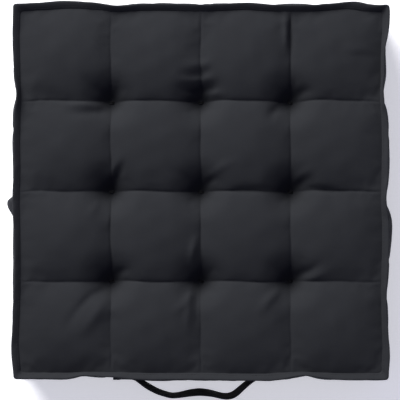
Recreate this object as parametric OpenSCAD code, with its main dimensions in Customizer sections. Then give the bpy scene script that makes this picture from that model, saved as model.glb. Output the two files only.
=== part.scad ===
// Tufted floor cushion. A boxed cover of plain cloth holds a fibre filling, twine ties draw
// the two faces together, the edges of both faces are pinched into a standing flange, and a
// webbing handle is sewn to the front strip.
// +Z is up, -Y is the front, and the origin is the middle of the face it rests on.

/* [Cover] */
// Width and depth of the cover, seam to seam
cover_w = 480; // [400:1:600]
// Height from the floor to the crowns of the pockets
cushion_h = 100; // [82:1:130]
// Height of the lower seam above the floor
low_seam_z = 12; // [8:1:16]
// Drop from a pocket's crown to the creases and the upper seam
crown_h = 12; // [8:1:15]
// Run of the underside's curve, in from the lower seam
under_run = 50; // [40:1:60]
// How far the side strips bulge past the seams at mid height
side_bulge = 10; // [6:1:14]
// Thickness of the cover cloth
cloth_t = 1.2; // [0.8:0.1:2]
// Pockets along each side
pocket_count = 4; // [3:1:5]

/* [Tufts] */
// Drop from the creases to the stitch at the bottom of a top dimple
top_dimple = 30; // [20:1:36]
// Radius of a top dimple at the height of the crowns
top_dimple_r = 40; // [30:1:45]
// Rise from the floor to the stitch in an underside dimple
low_dimple = 14; // [8:1:18]
// Radius of an underside dimple at the floor
low_dimple_r = 24; // [16:1:30]
// Radius of the flat spot that a stitch pulls down
seat_r = 4; // [3:0.5:6]
// Radius of the tufting twine
twine_r = 1; // [0.6:0.1:1.4]

/* [Pinched edge] */
// Width of the flange, outwards from the seam
flange_w = 10; // [6:1:14]
// How far the flange rises over its width
flange_rise = 6; // [2:1:8]
// Height of the flange's section
flange_t = 3; // [2:0.5:4]
// Width of the thread in the seams
thread_w = 0.8; // [0.5:0.1:1]

/* [Handle] */
// Width of the webbing
tape_w = 25; // [20:1:32]
// Thickness of the webbing
tape_t = 2; // [1.4:0.1:3]
// Distance between the two points where the webbing leaves the front strip
handle_span = 154; // [120:1:190]
// Offset of the handle's middle from the middle of the front strip
handle_x = -8; // [-20:1:20]
// How far the free webbing bows out from its two roots
bow = 23; // [18:1:32]
// How far the middle of the bow falls back
bow_dip = 4; // [0:1:6]
// Length of each sewn-down end
sewn_len = 32; // [26:1:40]

/* [Closing seam] */
// Length of the hand-sewn closing seam in the back strip
closing_len = 180; // [120:1:240]
// Distance from one closing stitch to the next
closing_pitch = 9; // [6:1:15]

/* [Hidden] */
ARC_FN = 180;
ROUND_FN = 48;

// Clearances
fill_gap = 0.3;     // filling to cover cloth
twine_gap = 0.15;   // twine to its hole
root_gap = 1.2;     // moving webbing to its sewn end, and to the front strip
past = 1;           // how far a cutting shape reaches past what it cuts

half_w = cover_w / 2;
reach = 4 * half_w;
pitch = cover_w / pocket_count;
top_seam_z = cushion_h - crown_h;
boxing_h = top_seam_z - low_seam_z;
mid_z = low_seam_z + boxing_h / 2;
crown_r = arc_r(pitch, crown_h);
bulge_r = arc_r(boxing_h, side_bulge);
bulge_x = half_w + side_bulge - bulge_r;
under_r = (under_run * under_run + low_seam_z * low_seam_z) / (2 * low_seam_z);
// The upper edge of a side strip stops this far under the top cloth
seam_gap = 0.05;
boxing_top_z = top_seam_z - cloth_t / cos(asin(pitch / 2 / crown_r)) - seam_gap;

top_seat_z = top_seam_z - top_dimple;
low_seat_z = low_dimple;
top_flare = (top_dimple_r - seat_r) / (cushion_h - top_seat_z);
low_flare = (low_dimple_r - seat_r) / low_seat_z;
tuft_count = pocket_count - 1;
tufts = [
    for (row = [tuft_count - 1 : -1 : 0])
        for (column = [0 : tuft_count - 1])
            [grid_at(column), grid_at(row)]
];
// Turns each dimple so that the seam line of its surface stays off the creases
dimple_turn = 20;
stitch_len = 1.6 * seat_r;
stitch_h = 1;
knot_r = 1.6 * twine_r;
// Cloth kept below the deepest stitch before the panel is hollowed
below_seat = 4 * cloth_t;
top_thread_z = top_seam_z + 0.6 * thread_w;
low_thread_z = low_seam_z - 1.75 * thread_w;

root_r = 0.8 * tape_t;
root_y = half_w + side_bulge + root_gap + root_r;
roll_len = 8;
lens_slope = 0.5;
// How far the outline that trims the free webbing reaches past both ends of its bow
trim_back = 2 * tape_t;
trim_out = 4 * bow;
ribbon_steps = 36;
bar_w = 1;
bar_h = 0.5;
stitch_margin = 4;
closing_count = floor(closing_len / closing_pitch);
closing_stitch_len = 8;

// Radius of the arc that has this chord and rise
function arc_r(chord, rise) = (chord * chord / 4 + rise * rise) / (2 * rise);
function grid_at(i) = (i - (tuft_count - 1) / 2) * pitch;
function tie_name(i) = str("tuft_tie_", i + 1);
// Rotation about Z that takes the right side to a named side
function side_turn(side) = side == "right" ? 0 : side == "back" ? 90 : side == "left" ? 180 : 270;

// Middle line of the free webbing in plan, for s from -1 at the left root to 1 at the right
function bow_dip_at(s) = abs(s) < 0.5 ? bow_dip * pow(1 - 4 * s * s, 2) : 0;
function bow_at(s) = bow * (1 - pow(abs(s), 3)) - bow_dip_at(s);
function path_at(s) = [handle_x + s * handle_span / 2, -root_y - bow_at(s)];
function unit(v) = v / norm(v);
function across_at(s, step = 0.01) =
    let (along = unit(path_at(s + step) - path_at(s - step)))
    [-along[1], along[0]];
function ribbon_edge(offset) = [
    for (i = [0 : ribbon_steps])
        let (s = 2 * i / ribbon_steps - 1)
        path_at(s) + offset * across_at(s)
];
function reversed(list) = [for (i = [len(list) - 1 : -1 : 0]) list[i]];

// Takes a profile of width and height, and keeps what lies under it both along X and along Y
module crossed() {
    intersection() {
        rotate([90, 0, 0])
            linear_extrude(height = reach, center = true)
                children();
        rotate([90, 0, 90])
            linear_extrude(height = reach, center = true)
                children();
    }
}

// Profile of the crowned pockets, sunk by inset, from floor_z up
module crowns(inset, floor_z, over) {
    for (i = [0 : pocket_count - 1]) {
        middle = -half_w + pitch * (i + 0.5);
        left = i == 0 ? over : 0;
        right = i == pocket_count - 1 ? over : 0;
        intersection() {
            translate([middle, cushion_h - crown_r])
                circle(r = crown_r - inset, $fn = ARC_FN);
            translate([middle - pitch / 2 - left, floor_z])
                square([pitch + left + right, cushion_h - floor_z]);
        }
    }
}

// Profile of everything above the underside's curve, raised by inset, up to roof_z
module above_underside(inset, roof_z, over) {
    steps = 6;
    flat = half_w - under_run;
    arc = asin(min(1, (under_run + over) / (under_r - inset)));
    curve = [
        for (i = [0 : steps])
            let (a = arc * i / steps)
            [flat + (under_r - inset) * sin(a), under_r - (under_r - inset) * cos(a)]
    ];
    last = curve[steps];
    right = concat(curve, roof_z > last[1] + seam_gap ? [[last[0], roof_z]] : []);
    left = [for (p = reversed(right)) [-p[0], p[1]]];
    polygon(concat(right, left));
}

// Section of the right side strip between two offsets from its outer face
module side_section(inner, outer, low_z, high_z) {
    intersection() {
        translate([bulge_x, mid_z])
            difference() {
                circle(r = bulge_r + outer, $fn = ARC_FN);
                circle(r = bulge_r + inner, $fn = ARC_FN);
            }
        translate([bulge_x, low_z])
            square([2 * bulge_r, high_z - low_z]);
    }
}

// Profile of the filling: crowns above, the underside's curve below, bulged sides
module filling_profile(inset) {
    intersection() {
        union() {
            crowns(inset, -inset, 0);
            translate([-reach / 2, -inset])
                square([reach, top_seam_z]);
        }
        union() {
            translate([-bulge_x, -inset])
                square([2 * bulge_x, cushion_h + inset]);
            for (side = [-1, 1])
                translate([side * bulge_x, mid_z])
                    circle(r = bulge_r - inset, $fn = ARC_FN);
        }
        above_underside(inset, cushion_h, 2 * side_bulge);
    }
}

// The tuft dimples of the top face, grown by inset into the filling
module top_dimples(inset) {
    height = cushion_h - top_seat_z + inset;
    widen = inset * sqrt(1 + top_flare * top_flare);
    low_r = seat_r + widen - inset * top_flare;
    for (p = tufts)
        translate([p[0], p[1], top_seat_z - inset])
            rotate([0, 0, dimple_turn])
                cylinder(
                    r1 = low_r,
                    r2 = low_r + (height + past) * top_flare,
                    h = height + past,
                    $fn = ROUND_FN
                );
}

// The tuft dimples of the underside, grown by inset into the filling
module low_dimples(inset) {
    height = low_seat_z + inset;
    widen = inset * sqrt(1 + low_flare * low_flare);
    high_r = seat_r + widen - inset * low_flare;
    for (p = tufts)
        translate([p[0], p[1], -past])
            rotate([0, 0, dimple_turn])
                cylinder(
                    r1 = high_r + (height + past) * low_flare,
                    r2 = high_r,
                    h = height + past,
                    $fn = ROUND_FN
                );
}

module twine_holes() {
    for (p = tufts)
        translate([p[0], p[1], -cushion_h])
            rotate([0, 0, dimple_turn])
                cylinder(r = twine_r + twine_gap, h = 3 * cushion_h, $fn = ROUND_FN);
}

module top_panel() {
    floor_z = top_seat_z - below_seat;
    color("#33353a")
        difference() {
            difference() {
                crossed() crowns(0, floor_z, 0);
                top_dimples(0);
            }
            difference() {
                crossed() crowns(cloth_t, floor_z - cloth_t, side_bulge);
                top_dimples(cloth_t);
            }
            twine_holes();
        }
}

module bottom_panel() {
    color("#33353a")
        difference() {
            difference() {
                crossed() above_underside(0, low_seam_z, 0);
                low_dimples(0);
            }
            difference() {
                crossed() above_underside(cloth_t, 3 * low_seam_z, side_bulge);
                low_dimples(cloth_t);
            }
            twine_holes();
        }
}

// The part of a side that belongs to it once the corners are mitred
module mitre() {
    linear_extrude(height = 2 * cushion_h)
        polygon([[0, 0], [reach, -reach], [reach, reach]]);
}

module boxing(side) {
    color("#303237")
        rotate([0, 0, side_turn(side)])
            intersection() {
                rotate([90, 0, 0])
                    linear_extrude(height = reach, center = true)
                        side_section(-cloth_t, 0, low_seam_z, boxing_top_z);
                mitre();
            }
}

// One pinched edge. It stands out from the seam, and up from it where rise is above zero
module flange(seam_z, rise, depth) {
    color("#26282c")
        for (turn = [0 : 90 : 270])
            rotate([0, 0, turn])
                intersection() {
                    rotate([90, 0, 0])
                        linear_extrude(height = reach, center = true)
                            polygon([
                                [half_w, seam_z],
                                [half_w + flange_w, seam_z + rise],
                                [half_w + flange_w, seam_z + rise + depth],
                                [half_w, seam_z + depth]
                            ]);
                    mitre();
                }
}

// A run of thread lying round the foot of a pinched edge
module edge_thread(low_z) {
    color("#1c1d20")
        translate([0, 0, low_z])
            linear_extrude(height = thread_w)
                difference() {
                    square(cover_w, center = true);
                    square(cover_w - 2 * thread_w, center = true);
                }
}

module top_edge_flange() {
    flange(top_seam_z - cloth_t / 2, flange_rise, flange_t);
}

module bottom_edge_flange() {
    flange(low_seam_z, -flange_rise, -flange_t);
}

module top_edge_thread() {
    edge_thread(top_thread_z);
}

module bottom_edge_thread() {
    edge_thread(low_thread_z);
}

module filling() {
    inset = cloth_t + fill_gap;
    color("#e8e6e0")
        difference() {
            crossed() filling_profile(inset);
            top_dimples(inset);
            low_dimples(inset);
            twine_holes();
        }
}

// Twine through the cushion, with a flat stitch in each dimple and a knot underneath
module tuft_tie(i) {
    color("#1c1d20")
        translate([tufts[i][0], tufts[i][1], 0]) {
            translate([0, 0, low_seat_z - stitch_h / 2])
                cylinder(r = twine_r, h = top_seat_z - low_seat_z + stitch_h, $fn = ROUND_FN);
            for (z = [top_seat_z, low_seat_z - stitch_h])
                translate([-stitch_len / 2, -twine_r, z])
                    cube([stitch_len, 2 * twine_r, stitch_h]);
            translate([0, 0, low_seat_z - 2 * twine_r])
                sphere(r = knot_r, $fn = ROUND_FN);
        }
}

// Short hand stitches across the closing seam, lying on the back strip's outer face
module closing_stitches() {
    color("#1c1d20")
        rotate([0, 0, side_turn("back")])
            for (i = [0 : closing_count])
                translate([0, (i - closing_count / 2) * closing_pitch, 0])
                    rotate([90, 0, 0])
                        linear_extrude(height = thread_w, center = true)
                            side_section(0, bar_h, low_seam_z, low_seam_z + closing_stitch_len);
}

// The free webbing, narrowed towards its two roots so that it can swing
module handle_strap() {
    color("#17181b")
        union() {
            intersection() {
                translate([0, 0, mid_z])
                    linear_extrude(height = tape_w, center = true)
                        polygon(concat(
                            ribbon_edge(tape_t / 2),
                            reversed(ribbon_edge(-tape_t / 2))
                        ));
                translate([handle_x, -root_y, mid_z])
                    rotate([90, 0, 90])
                        linear_extrude(height = handle_span + 2 * trim_back, center = true)
                            polygon([
                                [trim_back, -root_r],
                                [0, -root_r],
                                [-trim_out, -root_r - trim_out * lens_slope],
                                [-trim_out, root_r + trim_out * lens_slope],
                                [0, root_r],
                                [trim_back, root_r]
                            ]);
            }
            for (side = [-1, 1])
                translate([handle_x + side * (handle_span - roll_len) / 2, -root_y, mid_z])
                    rotate([0, 90, 0])
                        cylinder(r = root_r, h = roll_len, center = true, $fn = ROUND_FN);
        }
}

// Middle of a sewn end along X, for side -1 at the left and 1 at the right
function sewn_x(side) = handle_x + side * (handle_span / 2 + root_gap + sewn_len / 2);

// A sewn-down end of the webbing. Its back follows the front strip's bulge
module handle_end(side) {
    color("#17181b")
        translate([sewn_x(side), 0, 0])
            rotate([0, 0, side_turn("front")])
                rotate([90, 0, 0])
                    linear_extrude(height = sewn_len, center = true)
                        difference() {
                            translate([half_w, mid_z - tape_w / 2])
                                square([side_bulge + tape_t, tape_w]);
                            translate([bulge_x, mid_z])
                                circle(r = bulge_r, $fn = ARC_FN);
                        }
}

// A box of stitches with a cross in it, lying on a sewn end
module handle_stitches(side) {
    box_l = sewn_len - 2 * stitch_margin;
    box_h = tape_w - 2 * stitch_margin;
    slant = atan2(box_h, box_l);
    color("#1c1d20")
        translate([sewn_x(side), -half_w - side_bulge - tape_t, mid_z])
            rotate([90, 0, 0])
                linear_extrude(height = bar_h) {
                    difference() {
                        square([box_l, box_h], center = true);
                        square([box_l - 2 * bar_w, box_h - 2 * bar_w], center = true);
                    }
                    for (turn = [-slant, slant])
                        rotate(turn)
                            square([norm([box_l, box_h]) - 2 * bar_w, bar_w], center = true);
                }
}

top_panel();
bottom_panel();
boxing("front");  // front_boxing
boxing("back");  // back_boxing
boxing("left");  // left_boxing
boxing("right");  // right_boxing
top_edge_flange();
bottom_edge_flange();
top_edge_thread();
bottom_edge_thread();
filling();
closing_stitches();
handle_strap();
handle_end(-1);  // handle_end_left
handle_end(1);  // handle_end_right
handle_stitches(-1);  // handle_stitches_left
handle_stitches(1);  // handle_stitches_right
for (i = [0 : len(tufts) - 1])
    tuft_tie(i);
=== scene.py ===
# %% [markdown]
# # A tufted floor cushion
# The cushion is a flat box of dark cloth filled with fibre. Nine twines pull its two faces
# together, the edges of both faces are pinched into a standing rim, and a webbing handle is
# sewn to the front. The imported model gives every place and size, so this script starts there.
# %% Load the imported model
import math

import bpy
import numpy as np
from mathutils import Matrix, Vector
from mathutils.bvhtree import BVHTree


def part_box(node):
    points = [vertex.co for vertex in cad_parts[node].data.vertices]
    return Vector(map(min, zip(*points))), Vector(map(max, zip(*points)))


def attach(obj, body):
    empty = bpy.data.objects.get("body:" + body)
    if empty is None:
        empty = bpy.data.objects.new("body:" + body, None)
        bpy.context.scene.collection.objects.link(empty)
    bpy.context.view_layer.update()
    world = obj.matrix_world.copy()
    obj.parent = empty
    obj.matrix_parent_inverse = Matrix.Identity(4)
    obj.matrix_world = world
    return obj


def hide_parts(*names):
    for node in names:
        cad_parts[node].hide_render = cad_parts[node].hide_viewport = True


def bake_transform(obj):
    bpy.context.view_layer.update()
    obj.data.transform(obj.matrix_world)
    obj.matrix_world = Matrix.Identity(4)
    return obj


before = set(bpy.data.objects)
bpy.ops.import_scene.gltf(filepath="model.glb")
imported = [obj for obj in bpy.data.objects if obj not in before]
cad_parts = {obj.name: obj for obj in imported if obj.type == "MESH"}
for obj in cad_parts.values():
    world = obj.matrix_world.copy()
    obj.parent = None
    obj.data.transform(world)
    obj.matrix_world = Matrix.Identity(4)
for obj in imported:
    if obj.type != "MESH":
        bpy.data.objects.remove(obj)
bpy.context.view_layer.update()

# %% [markdown]
# ## Sizes, read off the model
# A maker marks out the seams and tufts before cutting. The same is done here: each size comes
# from the box of a piece of the model, so a piece made below lands where the model has it.
# %% Mark out the seams and tufts
mm = 0.001
cloth = 1.2 * mm
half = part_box("top_edge_thread")[1].x
rim_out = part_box("top_edge_flange")[1].x
top_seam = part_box("top_edge_flange")[0].z
low_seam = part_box("bottom_edge_flange")[1].z
crown_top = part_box("top_panel")[1].z
side_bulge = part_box("right_boxing")[1].x - half
tie_names = [f"tuft_tie_{i}" for i in range(1, 10)]
tufts = [sum(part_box(name), Vector()) / 2 for name in tie_names]
tuft_xy = np.array([[t.x, t.y] for t in tufts])
twine_over_seat = 1.0 * mm
top_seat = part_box("tuft_tie_1")[1].z - twine_over_seat
low_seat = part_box("bottom_panel")[1].z - cloth
pitch = (tuft_xy[:, 0].max() - tuft_xy[:, 0].min()) / 2
pockets = round(2 * half / pitch)
print(f"seam at {half:.3f} m, pockets of {pitch:.3f} m, seats at {top_seat:.4f} and {low_seat:.4f} m")

# %% [markdown]
# ## The camera
# It hangs over the middle of the cushion and looks straight down. A long lens from 3 m up
# keeps the sides almost hidden, as they are when something is laid out flat and viewed from
# far above. The frame takes in 53 cm at the height of the rim.
# %% Hang the camera over the cushion
scene = bpy.context.scene
view_width = 533.3 * mm
camera_height = 3.0
sensor = 36.0
camera_aside = (-1.3 * mm, -10.7 * mm)
camera_data = bpy.data.cameras.new("camera")
camera_data.sensor_width = sensor
camera_data.lens = sensor * (camera_height - top_seam) / view_width
camera_data.clip_end = 50.0
camera = bpy.data.objects.new("camera", camera_data)
scene.collection.objects.link(camera)
camera.location = (*camera_aside, camera_height)
scene.camera = camera
print(f"lens {camera_data.lens:.0f} mm")

# %% [markdown]
# ## Light and floor
# Dark cloth only shows its shape where light grazes it. A lamp straight above would flatten
# every pocket, so one wide soft lamp stands low behind the far left corner: the slopes that
# face it are lit and the near right slopes fall into shade, which draws the creases. A weak
# lamp opposite keeps the near sides readable, and a bluish surround fills the shadows.
# %% Set up the studio
cushion_middle = (0, 0, 0.05)


def soft_lamp(name, place, size, power):
    data = bpy.data.lights.new(name, "AREA")
    data.shape = "DISK"
    data.size = size
    data.energy = power
    lamp = bpy.data.objects.new(name, data)
    scene.collection.objects.link(lamp)
    lamp.location = place
    direction = Vector(cushion_middle) - Vector(place)
    lamp.rotation_euler = direction.to_track_quat("-Z", "Y").to_euler()
    return lamp


soft_lamp("key", (-1.38, 2.42, 1.75), size=2.3, power=234)
soft_lamp("fill", (2.0, -2.9, 0.7), size=1.5, power=35)
soft_lamp("overhead", (0.3, -0.3, 3.6), size=2.2, power=10)
scene.world = bpy.data.worlds.new("surround")
scene.world.use_nodes = True
surround = scene.world.node_tree.nodes["Background"]
surround.inputs["Color"].default_value = (0.50, 0.51, 1.0, 1)
surround.inputs["Strength"].default_value = 0.22
scene.view_settings.view_transform = "Standard"
print("three lamps and a bluish surround")

# %% [markdown]
# ## A shorthand for materials
# Blender builds a material from nodes wired together. Written out, even 1 - mask takes three
# lines. This small class wraps one wire, so sums can be written as sums. Colours and vectors
# never go through it, because a Math node would turn a colour grey.
# %% Write shader sums as sums
class Wire:
    def __init__(self, finish, socket):
        self.finish = finish
        self.socket = socket

    def sum_of(self, operation, *others):
        values = {i: other for i, other in enumerate((self, *others))}
        return self.finish.node("Math", {"operation": operation}, values)

    def __add__(self, other):
        return self.sum_of("ADD", other)

    def __sub__(self, other):
        return self.sum_of("SUBTRACT", other)

    def __rsub__(self, other):
        return self.sum_of("MULTIPLY", -1.0) + other

    def __mul__(self, other):
        return self.sum_of("MULTIPLY", other)

    def __pow__(self, other):
        return self.sum_of("POWER", other)

    __radd__ = __add__
    __rmul__ = __mul__

    def wave(self):
        return self.sum_of("SINE")

    def size(self):
        return self.sum_of("ABSOLUTE")

    def above(self, limit):
        return self.sum_of("GREATER_THAN", limit)

    def back_and_forth(self, reach):
        return self.sum_of("PINGPONG", reach)

print("wires can be added and multiplied")

# %% [markdown]
# ## One finish, one material
# Every finish is set up the same way: name the material, pick where its pattern is measured
# from, then add nodes and wire them to the surface. Cloth that lies still is measured from
# the cushion. Webbing carries its own measure along it, so its weave moves with it.
# %% A finish is one material and its nodes
class Finish:
    def __init__(self, name, measured_from="Object"):
        self.material = bpy.data.materials.new(name)
        self.material.use_nodes = True
        self.nodes = self.material.node_tree.nodes
        self.links = self.material.node_tree.links
        self.shader = self.nodes["Principled BSDF"]
        self.place = self.node("TexCoord", output=measured_from)

    def put(self, socket, value):
        if isinstance(value, Wire):
            self.links.new(value.socket, socket)
        else:
            socket.default_value = value

    def node(self, kind, settings=None, values=None, output=0):
        made = self.nodes.new("ShaderNode" + kind)
        for key, value in (settings or {}).items():
            setattr(made, key, value)
        for key, value in (values or {}).items():
            self.put(made.inputs[key], value)
        return Wire(self, made.outputs[output])

    def set(self, **values):
        for key, value in values.items():
            self.put(self.shader.inputs[key.replace("_", " ")], value)

    def axes(self):
        split = self.node("SeparateXYZ", values={0: self.place})
        return [Wire(self, split.socket.node.outputs[i]) for i in range(3)]

    def mottle(self, scale, detail=3.0, rough=0.55):
        return self.node(
            "TexNoise",
            values={"Vector": self.place, "Scale": scale, "Detail": detail, "Roughness": rough},
        )

    def blend(self, factor, one, other):
        return self.node("Mix", {"data_type": "RGBA"}, {0: factor, 6: one, 7: other}, output=2)

    def bumps(self, *layers):
        normal = None
        for height, depth, strength in layers:
            values = {"Height": height, "Distance": depth, "Strength": strength}
            if normal is not None:
                values["Normal"] = normal
            normal = self.node("Bump", values=values)
        return normal


def shade(level, tint=(1.0, 1.0, 1.0)):
    return tuple(level * t for t in tint) + (1.0,)


print("material shorthand ready")

# %% [markdown]
# ## The cover cloth
# It is a plain weave in charcoal: each thread goes over one and under the next. An image
# texture would blur close up and need unwrapping, so the relief is worked out instead: two
# waves at right angles, swapped by a checker of their signs. The dye is never quite even, the
# threads catch the light on their crowns, and fine lint sits on the surface. The weave needs
# the two directions the cloth runs in, so the faces and sides have a version each, and the
# doubled cloth of the edge, which is rubbed most, is a little paler.
# %% Weave the cover cloth
charcoal = (0.93, 0.97, 1.06)
thread_step = 0.9 * mm


def weave(run, across):
    turn = math.pi / thread_step
    warp = (run * turn).wave()
    weft = (across * turn).wave()
    over = (warp * weft).above(0.0)
    return warp.size() * over + weft.size() * (1 - over)


def cover_cloth(name, run, across, level=0.0195):
    finish = Finish(name)
    axes = finish.axes()
    threads = weave(axes[run], axes[across])
    dye = finish.mottle(9.0, 4.0)
    slub = finish.mottle(160.0, 2.0)
    lint = finish.mottle(900.0, 1.0)
    tone = finish.blend(dye, shade(level * 0.86, charcoal), shade(level * 1.16, charcoal))
    tone = finish.blend(threads * 0.22, tone, shade(level * 1.75, charcoal))
    flecks = lint.above(0.70) * 0.10
    tone = finish.blend(flecks, tone, shade(level * 3.0))
    finish.set(
        Base_Color=tone,
        Roughness=0.80 + slub * 0.14,
        Normal=finish.bumps((dye, 0.8 * mm, 0.25), (slub, 0.25 * mm, 0.35), (threads, 0.12 * mm, 0.45)),
        Sheen_Weight=0.04,
        Sheen_Roughness=0.45,
        Sheen_Tint=(0.62, 0.66, 0.74, 1),
        Specular_IOR_Level=0.04,
    )
    return finish.material


X, Y, Z = 0, 1, 2
flat_cloth = cover_cloth("cover cloth", X, Y)
front_cloth = cover_cloth("side cloth across", X, Z)
side_cloth = cover_cloth("side cloth along", Y, Z)
edge_cloth = cover_cloth("doubled cloth of the edge", X, Y, level=0.0215)
print("four lays of cover cloth")

# %% [markdown]
# ## Thread, twine, webbing and filling
# The sewing thread is a tight dark twist. The tufting twine is thicker and waxed, so it shines
# a little. Both are one recipe: a slanting wave for the lay of the strands, with fuzz on top.
# The webbing is woven in herringbone: diagonals that turn back in chevrons across its width,
# with painted shade that darkens it towards its lower edge. The filling is pale curled fibre.
# %% Make the small finishes
def twisted(name, level, step, gloss):
    finish = Finish(name)
    x, y, z = finish.axes()
    lay = ((x + y * 0.8 + z * 1.3) * (2 * math.pi / step)).wave()
    fuzz = finish.mottle(1400.0, 2.0)
    tone = finish.blend(lay * 0.3 + 0.4, shade(level * 0.6, charcoal), shade(level * 1.7, charcoal))
    finish.set(
        Base_Color=tone,
        Roughness=gloss + fuzz * 0.2,
        Normal=finish.bumps((lay, 0.15 * mm, 0.6), (fuzz, 0.1 * mm, 0.3)),
        Specular_IOR_Level=0.35,
    )
    return finish.material


def herringbone(name, level):
    finish = Finish(name, "UV")
    run, across, _ = finish.axes()
    chevron, rib_step, pick_step = 3.1 * mm, 2.7 * mm, 0.9 * mm
    rise = across.back_and_forth(chevron)
    ribs = ((run + rise) * (2 * math.pi / rib_step)).wave()
    picks = (across * (2 * math.pi / pick_step)).wave()
    wear = finish.mottle(220.0, 3.0)
    # Painted shade: the ribs are dark at the lower edge of the webbing and lighter towards its upper edge,
    # standing in for the cushion's shadow over it.
    painted_shade_ramp = finish.node("Clamp", values={0: across * 40.0 + 0.5})
    crowns = (ribs * 0.5 + 0.5) ** 2.0
    ribs_under_painted_shade = crowns * (painted_shade_ramp**2.0 * 0.92 + 0.08)
    tone = finish.blend(ribs_under_painted_shade, shade(level * 0.25), shade(level * 15.0, charcoal))
    tone = finish.blend((wear * 1.6 - 0.6) * 0.15, tone, shade(level * 6.0, charcoal))
    finish.set(
        Base_Color=tone,
        Roughness=0.66 + wear * 0.2,
        Normal=finish.bumps((wear, 0.2 * mm, 0.3), (ribs, 0.35 * mm, 0.7), (picks, 0.1 * mm, 0.35)),
        Specular_IOR_Level=0.20,
    )
    return finish.material


def fibre(name):
    finish = Finish(name)
    strands = finish.mottle(260.0, 6.0, 0.7)
    clumps = finish.mottle(22.0, 4.0)
    tone = finish.blend(clumps, shade(0.66, (1.0, 0.98, 0.94)), shade(0.84, (1.0, 0.99, 0.96)))
    finish.set(
        Base_Color=tone,
        Roughness=0.90 + strands * 0.08,
        Normal=finish.bumps((clumps, 4 * mm, 0.6), (strands, 1 * mm, 0.8)),
    )
    return finish.material


thread_finish = twisted("sewing thread", 0.015, 0.8 * mm, 0.60)
# The twine's colour is set near black, far darker than the cloth, as painted shade at the bottom of each
# dimple.
twine_finish = twisted("waxed twine", 0.0026, 1.6 * mm, 0.62)
webbing_finish = herringbone("webbing", 0.0048)
fibre_finish = fibre("fibre filling")
print("thread, twine, webbing and fibre")

# %% [markdown]
# ## The floor
# A plain pale sheet under everything, as in a studio. It only has to be quiet, so it has no
# more than a faint unevenness, and it glows a little so that it stays pale under the cushion's
# edge. The helper here makes it from points and faces, as it will every other piece.
# %% Lay the floor
floor_finish = Finish("floor")
floor_grain = floor_finish.mottle(6.0, 2.0)
floor_finish.set(
    Base_Color=floor_finish.blend(floor_grain, shade(0.90), shade(0.93)),
    Roughness=0.85 + floor_grain * 0.1,
    Specular_IOR_Level=0.1,
    Emission_Color=(1.0, 1.0, 1.0, 1.0),
    Emission_Strength=0.42,
)


def new_piece(name, points, faces, material):
    mesh = bpy.data.meshes.new(name)
    mesh.from_pydata([tuple(map(float, p)) for p in points], [], faces)
    mesh.materials.append(material)
    mesh.polygons.foreach_set("use_smooth", [True] * len(mesh.polygons))
    mesh.update()
    piece = bpy.data.objects.new(name, mesh)
    scene.collection.objects.link(piece)
    return piece


floor_reach = 8.0
floor_below = 0.2 * mm
corners = [(-1, -1), (1, -1), (1, 1), (-1, 1)]
floor_points = [(floor_reach * x, floor_reach * y, -floor_below) for x, y in corners]
floor = new_piece("floor", floor_points, [(0, 1, 2, 3)], floor_finish.material)
print("floor laid")

# %% [markdown]
# ## Where the pinched edge wanders
# A pinched edge is never straight. It is drawn in where a crease runs out to it and it swells
# between, and a lying cushion leans it over more in some places than in others. One list a
# side gives places along it and how far past its line the edge stands there, both in
# millimetres. The lists are joined into one loop and smoothed, so that the edge runs round the
# corners without a step. The hidden lower edge wanders by a sum of waves instead.
# %% Draw the line of the pinched edge
columns = 224
turns = {"front": (0, -1), "right": (1, 0), "back": (0, 1), "left": (-1, 0)}
edge_wander = {
    "front": [(-244, -0.6), (-200, -0.4), (-178, -0.2), (-166, -2.4), (-156, -6.2), (-144, -5.4),
              (-132, -3.2), (-122, -3.4), (-112, -3.8), (-100, -0.6), (-70, 0.6), (-10, 0.5),
              (60, 1.8), (90, 2.0), (112, -1.0), (124, -4.6), (138, -6.4), (156, -1.4), (172, 0.4),
              (195, 1.2), (244, 1.0)],
    "right": [(-244, -1.0), (-208, 2.2), (-165, -1.4), (-136, -3.4), (-100, -0.2), (-70, 0.8),
              (-40, 1.0), (-10, -4.0), (15, -0.6), (60, 0.4), (92, -0.4), (104, -2.6), (112, -5.0),
              (124, -10.3), (138, -8.4), (150, -5.2), (180, -6.2), (195, -3.4), (208, 1.2), (226, 2.2),
              (244, 2.0)],
    "back": [(-244, 0.4), (-232, 1.2), (-204, 2.2), (-176, 5.4), (-160, 4.8), (-146, 3.4), (-130, 2.6),
             (-118, -1.6), (-106, -2.2), (-80, 1.0), (-40, 1.2), (0, -0.3), (36, 1.2), (60, 2.9),
             (92, -0.6), (150, -0.7), (176, 2.4), (194, 4.8), (206, 2.2), (220, -1.4), (234, -1.0),
             (244, -0.4)],
    "left": [(-244, -1.5), (-202, 3.6), (-160, 0.8), (-120, -0.6), (-88, -1.5), (-50, -0.3),
             (-15, 1.9), (30, -0.6), (65, 0.6), (100, -0.9), (112, -1.8), (122, -5.0), (134, -4.4),
             (146, -0.8), (160, -0.4), (204, 1.5), (244, 0.0)],
}
steps = (np.arange(columns) + 0.5) / columns * 2 - 1


def smoothed(values, width):
    span = np.arange(-3 * width, 3 * width + 1)
    weights = np.exp(-0.5 * (span / width) ** 2)
    weights /= weights.sum()
    return sum(w * np.roll(values, s) for s, w in zip(span, weights))


def ahead_of(side):
    """The walk goes up the scale of x or y on two sides, and down it on the other two."""
    return 1 if side in ("front", "right") else -1


def wander_of(side):
    places = steps * ahead_of(side) * half * 1000
    knots = np.array(edge_wander[side])
    return np.interp(places, knots[:, 0], knots[:, 1]) * mm


top_wander = smoothed(np.concatenate([wander_of(side) for side in turns]), 3)
around = np.arange(4 * columns) / (4 * columns) * 2 * math.pi
low_waves = [(1.2, 11, 1), (0.9, 19, 4), (0.6, 31, 0)]
low_wander = mm * sum(size * np.sin(humps * around + start) for size, humps, start in low_waves)
print(f"edge wanders {top_wander.min() * 1000:.1f} to {top_wander.max() * 1000:.1f} mm")

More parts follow.
